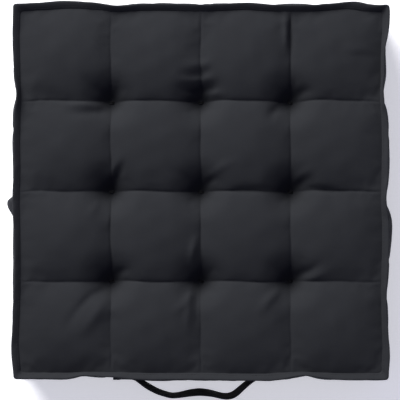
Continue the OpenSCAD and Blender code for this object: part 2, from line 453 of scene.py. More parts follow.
# %% [markdown]
# ## Walking round the cushion
# Everything on the edge uses one walk: four sides, from the front left corner and round to the
# right. At the corners the two sides share a mitre, so a point that stands out from one side
# also moves along it, and every corner is rounded a little.
# %% Place points on the walk
corner_round = 4.6 * mm


def plan_point(column, out):
    side = int(column // columns) % 4
    t = (column % columns + 0.5) / columns * 2 - 1
    nx, ny = list(turns.values())[side]
    reach = half + out
    x, y = nx * reach - ny * t * reach, ny * reach + nx * t * reach
    straight = reach - corner_round
    past_x, past_y = abs(x) - straight, abs(y) - straight
    if past_x > 0 and past_y > 0:
        pull = corner_round / math.hypot(past_x, past_y)
        x = math.copysign(straight + past_x * pull, x)
        y = math.copysign(straight + past_y * pull, y)
    return np.array([x, y])


def wander_at(wander, column):
    low = int(math.floor(column))
    part = column - low
    count = len(wander)
    return wander[low % count] * (1 - part) + wander[(low + 1) % count] * part


print("corner at", plan_point(columns - 0.5, 0.0))

# %% [markdown]
# ## How the seam gives
# The rim's outer edge wanders more than the seam at its foot, because the rim takes up part of
# it by leaning. These helpers say how much of it is left for the seam, and for the side strip
# that hangs from the seam, so that cloth, rim and strip meet all round.
# %% Share the wander between rim, seam and strip
seam_out = 1.6 * mm
swell_share, pull_share = 0.7, 0.25


def seam_give(shift):
    """The stuffing pushes the seam out, and it follows a swelling more than it follows a pull."""
    return seam_out + np.where(np.asarray(shift) > 0, swell_share, pull_share) * shift


def seam_shift(wander, side, place):
    """How far the seam gives way at a place along one side."""
    start = list(turns).index(side) * columns
    t = np.asarray(place) / half * ahead_of(side)
    index = np.clip((t + 1) / 2 * columns - 0.5, 0, columns - 1)
    return seam_give(np.interp(index, np.arange(columns), wander[start : start + columns]))


def side_draw(wander, side, place):
    """Where the rim is drawn in, the strip under it is flatter too."""
    pull = np.minimum(seam_shift(wander, side, place) - seam_out, 0) / pull_share
    return (1 - pull_share) * pull


print(f"seam moves {seam_give(top_wander.min()) * 1000:.1f} to {seam_give(top_wander.max()) * 1000:.1f} mm")

# %% [markdown]
# ## Blowing up cloth
# A stuffed cover is cloth under pressure, held along its seams. Blender's Cloth does just
# that: each sheet below starts near its final shape, cut a little too large, is held at its
# seams and tufts, and is blown up from inside with gravity off. The spare cloth has to go
# somewhere, so it folds beside the tufts as it does on a real cushion. Afterwards a cap keeps
# any point from moving further than stuffing would let it.
# %% Blow up a sheet that is held at its seams
def blow_up(piece, held, pressure, spare, cap, frames=22, bend=0.4):
    count = len(piece.data.vertices)
    start = np.empty(count * 3)
    piece.data.vertices.foreach_get("co", start)
    start = start.reshape(-1, 3)
    piece.vertex_groups.new(name="held").add(sorted(held), 1.0, "REPLACE")
    blown = piece.modifiers.new("blown", "CLOTH")
    settings = blown.settings
    settings.vertex_group_mass = "held"
    settings.pin_stiffness = 1.0
    settings.quality = 8
    settings.mass = 0.10
    settings.air_damping = 2.0
    settings.tension_stiffness = 25
    settings.compression_stiffness = 25
    settings.shear_stiffness = 8
    settings.tension_damping = 8
    settings.compression_damping = 8
    settings.shear_damping = 8
    settings.bending_stiffness = bend
    settings.bending_damping = 1.0
    settings.use_pressure = True
    settings.uniform_pressure_force = pressure
    settings.shrink_min = -spare
    settings.effector_weights.gravity = 0
    blown.collision_settings.use_collision = False
    blown.point_cache.frame_start, blown.point_cache.frame_end = 1, frames
    for number in range(1, frames + 1):
        scene.frame_set(number)
    ready = piece.evaluated_get(bpy.context.evaluated_depsgraph_get())
    end = np.empty(count * 3)
    ready.data.vertices.foreach_get("co", end)
    end = end.reshape(-1, 3)
    scene.frame_set(1)
    piece.modifiers.clear()
    piece.vertex_groups.clear()
    moved = end - start
    length = np.maximum(np.linalg.norm(moved, axis=1, keepdims=True), 1e-9)
    return start + moved * (cap * np.tanh(length / cap)) / length


print("a held sheet can be blown up")

# %% [markdown]
# ## Rounding a sheet
# Cloth with very many points is slow to simulate, and with few it shows flat facets. So each
# sheet is blown up on a fairly coarse grid, and a Subdivision Surface rounds it afterwards.
# Edges that lie in a crease keep most of their sharpness, as a sewn or pulled crease does.
# %% Round a sheet and number its faces
crease_sharpness = 0.8


def set_points(piece, points):
    piece.data.vertices.foreach_set("co", np.asarray(points, float).ravel())
    piece.data.update()


def refined(piece, sharp=()):
    """Split every face once more, and round the shape between, but not across the sharp edges."""
    if sharp:
        crease = piece.data.attributes.new("crease_edge", "FLOAT", "EDGE")
        ends = [edge.vertices for edge in piece.data.edges]
        keep = [crease_sharpness if a in sharp and b in sharp else 0.0 for a, b in ends]
        crease.data.foreach_set("value", keep)
    modifier = piece.modifiers.new("finer", "SUBSURF")
    modifier.levels = 1
    modifier.boundary_smooth = "PRESERVE_CORNERS"
    ready = piece.evaluated_get(bpy.context.evaluated_depsgraph_get())
    mesh = bpy.data.meshes.new_from_object(ready)
    piece.modifiers.clear()
    old = piece.data
    piece.data = mesh
    bpy.data.meshes.remove(old)
    mesh.name = piece.name
    return piece


def grid_faces(rows, row_length, flip=False):
    faces = []
    for r in range(rows - 1):
        for c in range(row_length - 1):
            a = r * row_length + c
            face = (a, a + 1, a + row_length + 1, a + row_length)
            faces.append(face[::-1] if flip else face)
    return faces


print(f"creases stay {crease_sharpness:.0%} sharp")

# %% [markdown]
# ## The top cover
# The top is one cloth, drawn down at nine tufts. Between them it creases in straight lines and
# each pocket swells. It could be sculpted by hand, but a sheet that is shaped by a formula can
# be blown up and then folded in a way that repeats. Its grid follows the creases, with its
# lines closer together near them, because that is where the cloth bends most.
# %% Lay out a grid that follows the creases
cells = 28


def crease_grid(cells_each):
    u = np.linspace(-1, 1, cells_each + 1)
    tight = 0.5 * u + 0.5 * np.sin(u * math.pi / 2)
    lines = []
    for pocket in range(pockets):
        middle = -half + pitch * (pocket + 0.5)
        line = middle + tight * pitch / 2
        lines.extend(line if pocket == 0 else line[1:])
    return np.array(lines)


def tuft_distance(x, y):
    return np.min([np.hypot(x - tx, y - ty) for tx, ty in tuft_xy], axis=0)


def pocket_swell(x, y, power=2.0):
    across = []
    for place in (x, y):
        share = np.abs(((place + half) / pitch) % 1 - 0.5) * 2
        across.append(1 - np.clip(share, 0, 1) ** power)
    return across[0] * across[1]


def tuft_fall(x, y, seat, reach):
    return np.clip(1 - np.clip(tuft_distance(x, y) - seat, 0, None) / reach, 0, 1) ** 2.5


def uneven_reach(x, y, mean, more):
    """The cloth is drawn in from further away on one side of each tuft than on the other."""
    away = [np.stack([x - tx, y - ty]) for tx, ty in tuft_xy]
    far = np.array([np.hypot(*a) for a in away])
    nearest = np.argmin(far, axis=0)[None]
    step_x, step_y = (np.take_along_axis(np.array([a[k] for a in away]), nearest, 0)[0] for k in (0, 1))
    return mean + more * (step_y - step_x) / (np.hypot(step_x, step_y) + 6 * mm) / math.sqrt(2)


lines = crease_grid(cells)
gx, gy = np.meshgrid(lines, lines)
grid_x, grid_y = gx.ravel(), gy.ravel()
gaps = np.diff(lines) * 1000
print(f"{len(lines)} lines each way, {gaps.min():.1f} to {gaps.max():.1f} mm apart")

# %% [markdown]
# ## Give the top its first shape
# The pockets rise from the creases, and each tuft pulls a funnel 30 mm below them. The creases
# themselves wander a little from side to side, and the outermost line follows the seam where
# the pinched edge draws it in.
# %% Shape the top before it is blown up
seat_radius = 4.0 * mm
top_edge = top_seam + 0.6 * mm
top_depth = top_edge - top_seat
margin = 30 * mm


def give_way(x, y, wander):
    """Points near the seams move with the seams."""
    near_x, near_y = (np.clip((np.abs(place) - half + margin) / margin, 0, 1) ** 2 for place in (x, y))
    in_x = np.where(x > 0, seam_shift(wander, "right", y), -seam_shift(wander, "left", y))
    in_y = np.where(y > 0, seam_shift(wander, "back", x), -seam_shift(wander, "front", x))
    return x + near_x * in_x, y + near_y * in_y


def stray(x, y):
    """A slow sideways drift of the creases, none at the tufts or the seams."""
    from_seam = half - np.maximum(np.abs(x), np.abs(y))
    calm = (1 - tuft_fall(x, y, seat_radius, 40 * mm)) * np.clip(from_seam / (25 * mm), 0, 1)
    dx = 0.4 * mm * np.sin(y * 52 + 1.3) + 0.4 * mm * np.sin(y * 97 + x * 20)
    dy = 0.6 * mm * np.sin(x * 47 + 0.4) + 0.4 * mm * np.sin(x * 88 - y * 17 + 2)
    dy += 1.2 * mm + 6.7 * mm * y
    return dx * calm, dy * calm


def top_shape(x, y):
    swell = pocket_swell(x, y)
    fall = tuft_fall(x, y, seat_radius, uneven_reach(x, y, 46 * mm, 4 * mm))
    return top_edge + (crown_top - top_seam) * 0.95 * swell - top_depth * fall


top_z = top_shape(gx, gy)
sx, sy = stray(gx, gy)
wx, wy = give_way(gx, gy, top_wander)
top_points = np.stack([wx + sx, wy + sy, top_z], axis=-1).reshape(-1, 3)
count = len(lines)
top_cover = new_piece("top_cover", top_points, grid_faces(count, count), flat_cloth)
print(f"top cover {len(top_points)} points, {top_z.min() * 1000:.1f} to {top_z.max() * 1000:.1f} mm")

# %% [markdown]
# ## Blow up the top
# On the real cushion the seam, the creases and the seats of the tufts can't move, and the
# stuffing pushes up all the rest. So those points are held, and pressure swells the cloth
# between them, pocket by pocket. Stiff bending keeps it to a few broad folds.
# %% Hold the seams, creases and tufts, and blow up the top
def crease_indices(size, cells_each):
    inner = range(cells_each, size - 1, cells_each)
    across = [r * size + c for r in inner for c in range(size)]
    along = [r * size + c for r in range(size) for c in inner]
    return sorted(set(across + along))


def held_points(x, y, cells_each):
    size = x.shape[0]
    held = set(crease_indices(size, cells_each))
    for i in range(size):
        held.update((i, (size - 1) * size + i, i * size, i * size + size - 1))
    close = (tuft_distance(x, y) < seat_radius).ravel()
    return held.union(int(index) for index in np.nonzero(close)[0])


top_held = held_points(gx, gy, cells)
top_points = blow_up(top_cover, top_held, pressure=3.0, spare=0.004, cap=8 * mm, bend=6.0)
print(f"top now reaches {top_points[:, 2].max() * 1000:.1f} mm")

# %% [markdown]
# ## Folds listed one by one
# Beside some tufts the cloth has set in folds of its own: a long ridge that runs away from a
# near tuft, short pleats where two pockets push together. Simulated folds never fall in the
# right place, so these are marked one by one. Each is a bent stroke through three places, with
# a width and a height, in millimetres. A stroke below zero is a valley. The strength of each
# stretch of crease is listed too, row by row and column by column.
# %% Mark the folds and the strength of the creases
folds = [
    ((-131, -131), (-157, -149), (-182, -187), 5.0, -3.8),
    ((-124, -140), (-139, -161), (-166, -196), 8.4, 4.3),
    ((-112, -152), (-120, -158), (-132, -164), 4.0, 1.2),
    ((-26, 157), (0, 158), (17, 166), 4.0, -3.6),
    ((-28, 139), (0, 136), (26, 145), 4.2, -4.2),
    ((-24, 168), (0, 170), (15, 176), 4.6, 2.2),
    ((-26, 149), (0, 149), (22, 156), 4.0, 3.0),
    ((2, 128), (18, 131), (36, 131), 5.0, 2.6),
    ((-117, 6), (-110, 24), (-100, 42), 4.2, -4.2),
    ((-124, 14), (-117, 30), (-108, 48), 4.6, 2.8),
    ((-12, -104), (-11, -80), (-5, -58), 4.4, 4.4),
    ((-11, -126), (-20, -146), (-40, -162), 4.5, 3.2),
    ((-14, -130), (-17, -160), (-18, -190), 3.6, 3.0),
    ((-5, -130), (-6, -155), (-6, -180), 3.0, -2.2),
    ((126, -114), (142, -106), (162, -92), 4.2, -3.6),
    ((130, -122), (150, -114), (170, -104), 4.6, 2.2),
    ((112, -130), (92, -142), (78, -164), 5.5, 4.0),
    ((136, 6), (160, 4), (190, 0), 4.0, -3.0),
    ((110, 4), (72, 4), (36, 3), 3.8, -2.8),
    ((-128, 116), (-160, 117), (-192, 115), 4.6, 3.0),
    ((-122, 108), (-150, 105), (-184, 104), 4.6, -2.8),
    ((110, 118), (98, 108), (92, 94), 5.0, -4.6),
    ((112, 238), (113, 212), (113, 188), 3.6, 3.7),
    ((120, 236), (120, 208), (120, 180), 3.0, -2.9),
    ((190, 190), (212, 190), (236, 189), 3.4, 1.5),
    ((188, 180), (212, 180), (238, 179), 3.4, -1.4),
    ((8, 16), (26, 32), (48, 42), 4.2, 2.2),
    ((124, 14), (138, 26), (152, 32), 4.2, 2.0),
    ((-128, -8), (-142, -22), (-150, -38), 5.0, 1.8),
    ((123, 125), (134, 132), (150, 138), 5.0, -3.4),
    ((121, 128), (126, 146), (122, 168), 4.0, -1.6),
    ((3, 6), (12, 15), (24, 22), 5.0, -3.0),
    ((124, 4), (136, 12), (150, 20), 4.6, -3.0),
    ((-116, 127), (-112, 138), (-112, 152), 4.6, -2.6),
    ((-116, -114), (-106, -106), (-92, -102), 5.0, -2.4),
    ((-128, 128), (-146, 142), (-162, 158), 6.0, -1.8),
    ((-8, 10), (-24, 22), (-44, 30), 5.0, -1.6),
    ((112, -112), (98, -100), (84, -94), 6.0, -1.6),
]
crease_strength = {
    "level": [[0.7, 0.9, 0.9, 0.6], [0.6, 1.0, 1.5, 1.3], [0.8, 1.1, 1.0, 0.9]],
    "upright": [[0.5, 1.5, 0.8, 0.6], [0.7, 0.9, 0.9, 0.9], [0.4, 0.6, 1.0, 1.5]],
}


def stroke(x, y, start, middle, end, width):
    """One fold: deepest half way along, and fading out at both ends."""
    start, middle, end = (np.array(p) * mm for p in (start, middle, end))
    pull = 2 * middle - (start + end) / 2
    nearest = np.full(x.shape, 1.0)
    share = np.zeros(x.shape)
    for part in np.linspace(0, 1, 60):
        px, py = start * (1 - part) ** 2 + pull * 2 * part * (1 - part) + end * part**2
        far = np.hypot(x - px, y - py)
        closer = far < nearest
        nearest[closer] = far[closer]
        share[closer] = part
    fade = np.sin(math.pi * (share * 0.85 + 0.12)) ** 1.2
    return np.exp(-((nearest / width) ** 2)) * fade


print(f"{len(folds)} folds marked")

# %% [markdown]
# ## Press them into the top
# The creases are deepest a little way out from each tuft, where two pockets push against each
# other, and faint waves in all directions keep the pockets from looking polished. Folds, waves
# and creases only move points up or down, so the seams stay where they are.
# %% Press the folds, gathers and waves into the cloth
def gathers(x, y):
    """The valley of each crease deepens a little way out from every tuft."""
    deepest, width = 14 * mm, 5 * mm
    away = tuft_distance(x, y) / deepest
    to_crease = [np.abs((place + pitch / 2) % pitch - pitch / 2) for place in (x, y)]
    aside = np.minimum(*to_crease) / width
    return (away * np.exp(1 - away)) ** 2 * np.exp(-(aside**2))


def rumple(x, y, waves=9):
    """Slow shallow waves in all directions, as in any cloth that has been handled."""
    rng = np.random.default_rng(11)
    total = np.zeros(x.shape)
    for _ in range(waves):
        heading = rng.uniform(0, math.pi)
        length = rng.uniform(22, 48) * mm
        start = rng.uniform(0, 2 * math.pi)
        total += np.sin(2 * math.pi * (x * math.cos(heading) + y * math.sin(heading)) / length + start)
    return total


gather_depth, rumple_height, crease_depth = 2.4 * mm, 0.13 * mm, 0.8 * mm
x, y = top_points[:, 0], top_points[:, 1]
top_points[:, 2] -= gather_depth * gathers(grid_x, grid_y)
top_points[:, 2] += rumple_height * rumple(x, y) * pocket_swell(grid_x, grid_y)
for start, middle, end, width, height in folds:
    top_points[:, 2] += height * mm * stroke(x, y, start, middle, end, width * mm)
crease_points = crease_indices(count, cells)
for index in crease_points:
    row, column = divmod(index, count)
    upright = column % cells == 0 and 0 < column < count - 1
    line, place = (column, row) if upright else (row, column)
    segment = min(place // cells, pockets - 1)
    strength = crease_strength["upright" if upright else "level"][line // cells - 1][segment]
    from_rim = half - max(abs(grid_x[index]), abs(grid_y[index]))
    fade = min(1.0, from_rim / (25 * mm))
    fade *= 1 - tuft_fall(grid_x[index], grid_y[index], seat_radius, 20 * mm)
    top_points[index, 2] -= crease_depth * strength * fade
set_points(top_cover, top_points)
refined(top_cover, sharp=set(crease_points))
print(f"top cover has {len(top_cover.data.polygons)} faces")
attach(top_cover, "cushion")
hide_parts("top_panel")

# %% [markdown]
# ## The underside
# The twines pull the lower face too, but the cushion's weight presses its pockets flat again.
# It is made as the top is, with shallower dimples, and blown downwards. Where it would go
# through the floor it is pressed flat, which is simpler than a collision with the floor and
# gives the cushion flat pads to lie on.
# %% Shape, blow up and press the underside
low_cells = 20
low_lines = crease_grid(low_cells)
lx, ly = np.meshgrid(low_lines, low_lines)
under_run = 50 * mm
pad_height = 0.3 * mm


def under_rise(place):
    run = np.clip(np.abs(place) - (half - under_run), 0, under_run)
    return low_seam * (run / under_run) ** 2


def low_shape(x, y):
    edge = np.maximum(under_rise(x), under_rise(y))
    swell = pocket_swell(x, y, 4.0)
    fall = tuft_fall(x, y, seat_radius, 24 * mm)
    crease = 3.2 * mm * (1 - swell) * (1 - edge / low_seam)
    return edge + crease * (1 - fall) + low_seat * fall


low_z = low_shape(lx, ly)
low_x, low_y = give_way(lx, ly, low_wander)
low_points = np.stack([low_x, low_y, low_z], axis=-1).reshape(-1, 3)
low_count = len(low_lines)
bottom_cover = new_piece("bottom_cover", low_points, grid_faces(low_count, low_count, flip=True), flat_cloth)
low_held = held_points(lx, ly, low_cells)
low_points = blow_up(bottom_cover, low_held, pressure=5.0, spare=0.015, cap=4 * mm, frames=16)
low_points[:, 2] = np.maximum(low_points[:, 2], pad_height)
set_points(bottom_cover, low_points)
refined(bottom_cover)
lowest = min(v.co.z for v in bottom_cover.data.vertices)
print(f"underside {len(bottom_cover.data.polygons)} faces, lowest {lowest * 1000:.2f} mm")
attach(bottom_cover, "cushion")
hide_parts("bottom_panel")

# %% [markdown]
# ## The side strips
# Four strips join the two faces. The filling bulges them outwards, least at the corners, where
# the seams hold them in, and most at two places where a lump of it pushes past the rim. Each
# strip is bent outwards first and then blown up, because pressure alone would pucker it evenly
# all along. The front strip is held flat under the two sewn ends of the handle.
# %% Shape and blow up the four side strips
strip_rows = 19
strip_columns = 121
seam_gap = 0.2 * mm
strip_low, strip_high = low_seam + seam_gap, top_seam - seam_gap
sewn_ends = [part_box(name) for name in ("handle_end_left", "handle_end_right")]
sewn_zones = [(low.x - 3 * mm, high.x + 3 * mm) for low, high in sewn_ends]
tape_reach = 0.24
lumps = {"left": (-13, 17, 8, 9.0), "right": (-42, 42, 22, 3.8)}
strips = {}


def strip_shape(side):
    t, v = np.meshgrid(np.linspace(-1, 1, strip_columns), np.linspace(0, 1, strip_rows))
    nx, ny = turns[side]
    place = t * ahead_of(side) * half
    seam_in = seam_shift(top_wander, side, place) * v + seam_shift(low_wander, side, place) * (1 - v)
    round_out = 1 - (2 * v - 1) ** 2
    swell = side_bulge * (1 - 0.62 * np.abs(t) ** 7) + side_draw(top_wander, side, place)
    if side in lumps:
        at, before, after, height = lumps[side]
        aside = place / mm - at
        swell = swell + height * mm * np.exp(-((aside / np.where(aside < 0, before, after)) ** 2))
    out = half + seam_in + swell * round_out
    px = nx * out - ny * t * out
    py = ny * out + nx * t * out
    pz = strip_low + (strip_high - strip_low) * v
    return np.stack([px, py, pz], axis=-1).reshape(-1, 3), place.ravel(), v.ravel()


def strip_held(side, place, v):
    rows, places_along = np.divmod(np.arange(len(v)), strip_columns)
    at_seam = np.isin(rows, (0, strip_rows - 1)) | np.isin(places_along, (0, strip_columns - 1))
    under_tape = np.any([(low <= place) & (place <= high) for low, high in sewn_zones], axis=0)
    under_tape &= (np.abs(v - 0.5) < tape_reach) & (side == "front")
    return np.nonzero(at_seam | under_tape)[0].tolist()


strip_faces = grid_faces(strip_rows, strip_columns)
for side in turns:
    points, place, v = strip_shape(side)
    material = front_cloth if side in ("front", "back") else side_cloth
    strip = new_piece(f"{side}_strip", points, strip_faces, material)
    held = strip_held(side, place, v)
    blown = blow_up(strip, held, pressure=5.0, spare=0.03, cap=4 * mm, frames=16)
    set_points(strip, blown)
    refined(strip)
    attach(strip, "cushion")
    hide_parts(f"{side}_boxing")
    strips[side] = strip
    low, high = (Vector(strip.bound_box[i]) for i in (0, 6))
    print(f"{side} strip x {low.x:.3f}..{high.x:.3f}, y {low.y:.3f}..{high.y:.3f}")

# %% [markdown]
# ## The pinched edges
# The face and the side strips are sewn together a finger's width in from the fold, so both
# layers stand up as a flat rim. A plain tube along the edge would look like piping, so the rim
# is a flat section, thin at the stitches and fuller towards the fold, carried round the walk.
# It always has the same width of cloth. Where the edge is drawn in it stands steeper, and where
# it swells it lies flatter, so its lean is worked out from how far out it reaches. The lower
# rim is pressed a little flatter by the floor.
# %% Work out how the rim stands
rim_width = rim_out - half - 0.6 * mm
rim_cloth = 9.9 * mm
rim_profile = [(-1.0, 0.5), (0.5, 0.5), (1.6, 0.55), (2.7, 0.95), (4.2, 1.25), (5.9, 1.4), (7.6, 1.45),
               (8.9, 1.3), (9.7, 0.95), (10.0, 0.35)]
rim_tip = rim_profile[-1][0]
least_width = 3.0 * mm
top_foot, low_foot = 0.8 * mm, 0.4 * mm
floor_squash = 0.95


def rim_lean(wander, column):
    shift = wander_at(wander, column)
    seam_at = float(seam_give(shift))
    width = float(np.clip(rim_width + shift - seam_at, least_width, rim_cloth))
    rise = math.sqrt(max(rim_cloth**2 - width**2, 0.0))
    return seam_at, width / rim_cloth, rise / rim_cloth


def rim_point(wander, column, along, aside, up):
    """A point on the rim: along is the way out from the seam, aside the way off its face."""
    seam_at, run, rise = rim_lean(wander, column)
    x, y = plan_point(column, seam_at + along * run - aside * rise)
    height = along * rise + aside * run
    if up > 0:
        return x, y, top_seam + top_foot + height
    return x, y, low_seam - (low_foot + height) * floor_squash


print(f"rim section {len(rim_profile)} points a side, {rim_tip:.0f} mm wide")

# %% [markdown]
# ## Carrying the section round
# The same section is set down at every step of the walk, a little plumper or thinner and with
# a slight waver, as doubled cloth has. Each ring of points is joined to the next one. The same
# helper joins the rings of threads and webbing later on.
# %% Build both pinched edges
def slow_noise(seed, waves):
    rng = np.random.default_rng(seed)
    total = np.zeros(4 * columns)
    for number, height in waves:
        total += height * np.sin(number * around + rng.uniform(0, 2 * math.pi))
    return total


def tube_faces(rings, ring, first=0, closed=False):
    """Joins each ring of points to the next. The ends are joined too, or have caps."""
    faces = []
    for i in range(rings if closed else rings - 1):
        here, there = first + i * ring, first + (i + 1) % rings * ring
        for k in range(ring):
            j = (k + 1) % ring
            faces.append((here + k, here + j, there + j, there + k))
    if not closed:
        faces.append(tuple(first + k for k in reversed(range(ring))))
        faces.append(tuple(first + (rings - 1) * ring + k for k in range(ring)))
    return faces


def rim_ring(name, wander, up, seed):
    waver = slow_noise(seed, [(23, 0.18), (41, 0.15), (67, 0.12), (97, 0.1)])
    plump = 1 + slow_noise(seed + 1, [(37, 0.08), (71, 0.08), (113, 0.06)])
    section = rim_profile + [(s, -h) for s, h in reversed(rim_profile)]
    points = []
    for column in range(4 * columns):
        for s, h in section:
            drift = waver[column] * (max(s, 0) / rim_tip) ** 2
            points.append(rim_point(wander, column, s * mm, (h * plump[column] + drift) * mm, up))
    faces = tube_faces(4 * columns, len(section), closed=True)
    return new_piece(name, points, faces if up > 0 else [face[::-1] for face in faces], edge_cloth)


top_rim = rim_ring("top_rim", top_wander, 1, 5)
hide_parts("top_edge_flange")
bottom_rim = rim_ring("bottom_rim", low_wander, -1, 9)
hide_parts("bottom_edge_flange")
for rim in (top_rim, bottom_rim):
    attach(rim, "cushion")
    low, high = (Vector(rim.bound_box[i]) for i in (0, 6))
    print(f"{rim.name} {len(rim.data.polygons)} faces, z {low.z * 1000:.1f}..{high.z * 1000:.1f} mm")

# %% [markdown]
# ## Stitches
# A row of lockstitch is hundreds of short lengths of thread, each sunk at both ends. A curve
# with a bevel could draw them, but hundreds of curves are slow to handle, so they are swept
# here as little five-sided beads, and all the stitches of one row are one mesh.
# %% Sweep short lengths of thread
def heading(path, i):
    ahead = path[min(i + 1, len(path) - 1)] - path[max(i - 1, 0)]
    return ahead / np.linalg.norm(ahead)


def thread_mesh(paths, radius, sides=5):
    points, faces = [], []
    for path in paths:
        path = np.asarray(path, float)
        first = len(points)
        for i, p in enumerate(path):
            ahead = heading(path, i)
            helper = np.array([0.31, 0.17, 0.93]) if abs(ahead[2]) < 0.9 else np.array([0.93, 0.3, 0.1])
            right = np.cross(ahead, helper)
            right /= np.linalg.norm(right)
            over = np.cross(right, ahead)
            narrow = 0.55 if i in (0, len(path) - 1) else 1.0
            for k in range(sides):
                angle = 2 * math.pi * k / sides
                points.append(p + radius * narrow * (math.cos(angle) * right + math.sin(angle) * over))
        faces += tube_faces(len(path), sides, first)
    return points, faces


stitch_step = 4.2 * mm
stitch_length = 3.3 * mm
stitches_out = 2.0 * mm
half_thick = 0.56 * mm
sewing_radius = 0.34 * mm


def rim_stitches(name, wander, up, node):
    column_step = 2 * half / columns
    paths = []
    count = int(8 * half / stitch_step)
    for number in range(count):
        middle = number * stitch_step / column_step
        for face in (1, -1):
            path = []
            for part, lift in ((-0.5, -0.3), (-0.25, 0.28), (0.25, 0.28), (0.5, -0.3)):
                column = middle + part * stitch_length / column_step
                path.append(rim_point(wander, column, stitches_out, face * (half_thick + lift * mm), up))
            paths.append(path)
    points, faces = thread_mesh(paths, sewing_radius)
    stitches = new_piece(name, points, faces, thread_finish)
    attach(stitches, "cushion")
    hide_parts(node)
    print(f"{name}: {len(paths)} stitches")


rim_stitches("top_rim_stitches", top_wander, 1, "top_edge_thread")
rim_stitches("bottom_rim_stitches", low_wander, -1, "bottom_edge_thread")

# %% [markdown]
# ## The closing seam
# The cushion is stuffed through a gap low in the back strip, which is then sewn up by hand, so
# the slanted stitches are a little uneven. The strip was blown up and its surface isn't known
# as a formula any more. Each stitch is therefore dropped onto it by casting a ray.
# %% Sew up the gap in the back
closing_low, closing_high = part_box("closing_stitches")
surface = BVHTree.FromObject(strips["back"], bpy.context.evaluated_depsgraph_get())
rng = np.random.default_rng(3)
closing_paths = []
closing_step = 9.0 * mm
outside = half + 60 * mm
foot = closing_low.z + 0.8 * mm
tall = closing_high.z - closing_low.z - 1.5 * mm
place = closing_low.x + closing_step / 2
while place < closing_high.x:
    low_x = place + rng.uniform(-0.6, 0.6) * mm
    high_x = low_x + (3.0 + rng.uniform(-0.5, 0.5)) * mm
    path = []
    for part, lift in ((0.0, 0.1), (0.15, 0.7), (0.5, 0.8), (0.85, 0.7), (1.0, -0.4)):
        x = low_x + (high_x - low_x) * part
        z = foot + tall * part
        hit = surface.ray_cast(Vector((x, outside, z)), Vector((0, -1, 0)))[0]
        path.append((x, hit.y + lift * mm, z))
    closing_paths.append(path)
    place += closing_step
points, faces = thread_mesh(closing_paths, 0.45 * mm)
closing_row = new_piece("closing_row", points, faces, thread_finish)
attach(closing_row, "cushion")
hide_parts("closing_stitches")
print(f"{len(closing_paths)} closing stitches")

# %% [markdown]
# ## The tufts
# Each tuft is a waxed twine through the whole cushion. On top it shows as two short strands
# side by side at the bottom of the dimple. Underneath it is knotted, and two tails are left.
# All of it is swept like the stitches, with more sides because twine is thicker. The places on
# each path are in millimetres from the middle of the tuft.
# %% Tie the nine tufts
def tuft_paths(x, y, number):
    paths = []
    lean = 0.35 * math.sin(number * 2.4)
    for aside in (-0.95, 0.95):
        row = []
        for along, lift in ((-3.6, -2.2), (-2.8, 0.4), (-1.2, 1.0), (1.2, 1.0), (2.8, 0.4), (3.6, -2.2)):
            px = along * math.cos(lean) - aside * math.sin(lean)
            py = along * math.sin(lean) + aside * math.cos(lean)
            row.append((x + px * mm, y + py * mm, top_seat + lift * mm))
        paths.append(row)
    shank = (top_seat - 1.5 * mm, (top_seat + low_seat) / 2, low_seat + 1.0 * mm)
    paths.append([(x, y, z) for z in shank])
    for aside in (-0.95, 0.95):
        row = []
        for along, drop in ((-3.4, -1.8), (-2.4, 0.5), (0, 1.0), (2.4, 0.5), (3.4, -1.8)):
            row.append((x + along * mm, y + aside * mm, low_seat - drop * mm))
        paths.append(row)
    for level in (1.6, 2.9):
        ring = []
        for k in range(9):
            angle = 2 * math.pi * k / 8 + level
            radius = (1.9 - 0.25 * level) * mm
            ring.append((x + radius * math.cos(angle), y + radius * math.sin(angle), low_seat - level * mm))
        paths.append(ring)
    for turn in (0.6, 3.5):
        angle = turn + number
        tail = []
        for out, drop in ((0.5, 3.0), (3.0, 4.2), (6.0, 5.4), (9.0, 7.6), (11.0, 9.8)):
            bend = angle + 0.08 * out
            tail.append((x + out * math.cos(bend) * mm, y + out * math.sin(bend) * mm, low_seat - drop * mm))
        paths.append(tail)
    return paths


for number, (name, tuft) in enumerate(zip(tie_names, tufts)):
    points, faces = thread_mesh(tuft_paths(tuft.x, tuft.y, number), 0.9 * mm, sides=8)
    tie = new_piece(f"tuft_{number + 1}", points, faces, twine_finish)
    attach(tie, "cushion")
    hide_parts(name)
print(f"{len(tufts)} tufts tied")
